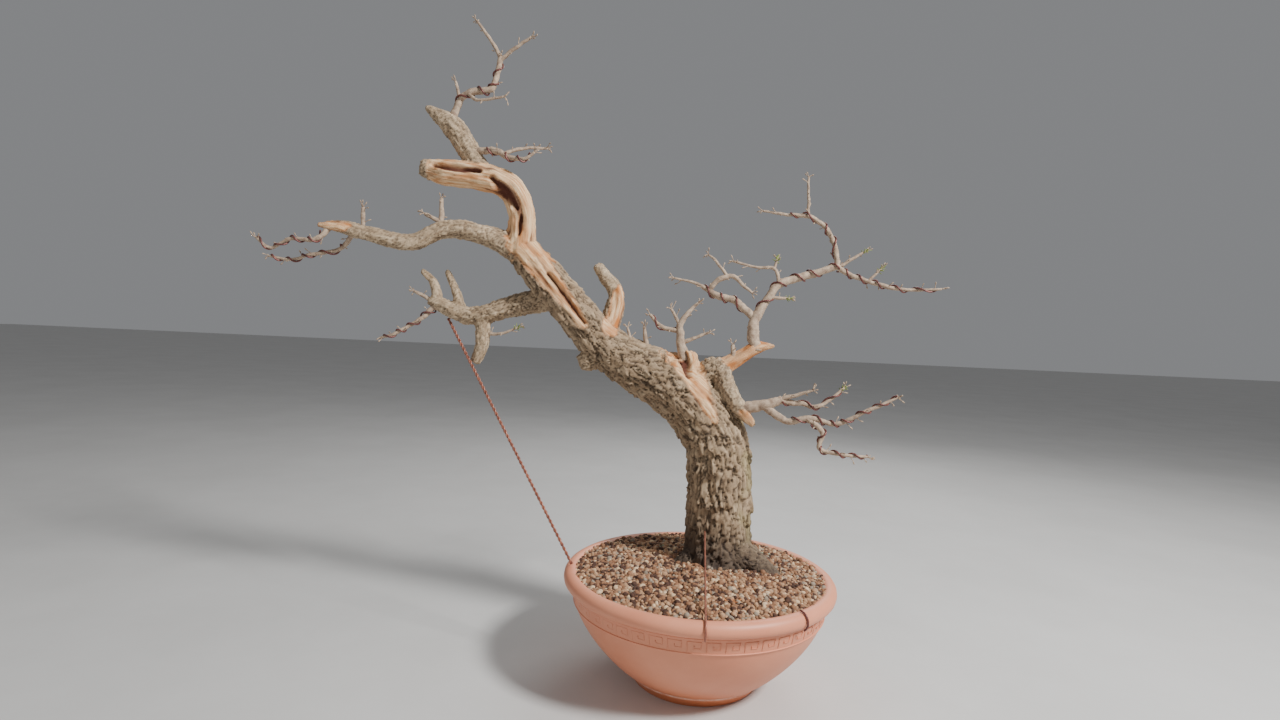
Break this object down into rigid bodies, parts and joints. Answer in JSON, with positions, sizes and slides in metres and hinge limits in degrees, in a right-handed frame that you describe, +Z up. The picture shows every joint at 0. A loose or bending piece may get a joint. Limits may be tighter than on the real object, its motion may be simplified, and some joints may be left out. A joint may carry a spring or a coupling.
{
  "type": "bonsai tree in a pot",
  "caption": "Leaning bonsai tree with bare wired branches and stripped deadwood, planted in grit in a round terracotta-coloured bowl.",
  "frame": {"origin": "centre of the pot's flat foot, on the surface that it stands on", "axes": "+Z up, -Y towards the viewer, the tree leans towards -X"},
  "size_m": [0.9957, 0.4034, 0.9561],
  "materials": {
    "bark": "rough plated bark",
    "grit": "dry matt grains",
    "terracotta_plastic": "satin",
    "copper_wire": "dull copper colour",
    "guy_wire_metal": "dull copper colour",
    "leaf_green": "soft leaf",
    "moss_green": "soft matt",
    "dead_leaf": "dry",
    "mesh_black": "matt"
  },
  "bodies": {
    "root": {"pot": "terracotta_plastic", "drain_mesh": "mesh_black", "substrate": "grit", "tree": "bark", "guy_wire": "guy_wire_metal", "front_tie_wire": "copper_wire", "rim_hook_wire": "copper_wire", "wire_leader": "copper_wire", "wire_crown": "copper_wire", "wire_tip_upper": "copper_wire", "wire_tip_lower": "copper_wire", "wire_low_twig": "copper_wire", "wire_centre_left": "copper_wire", "wire_upper": "copper_wire", "wire_upper_left": "copper_wire", "wire_spray": "copper_wire", "wire_reach": "copper_wire", "wire_lower_top": "copper_wire", "wire_lower_long": "copper_wire", "wire_lower_drop": "copper_wire", "leaf_sprig_1": "leaf_green", "leaf_sprig_2": "leaf_green", "leaf_sprig_3": "leaf_green", "leaf_sprig_4": "leaf_green", "leaf_sprig_5": "leaf_green", "leaf_sprig_6": "leaf_green", "moss_1": "moss_green", "moss_2": "moss_green", "moss_3": "moss_green", "fallen_leaf": "dead_leaf"}
  },
  "joints": []
}
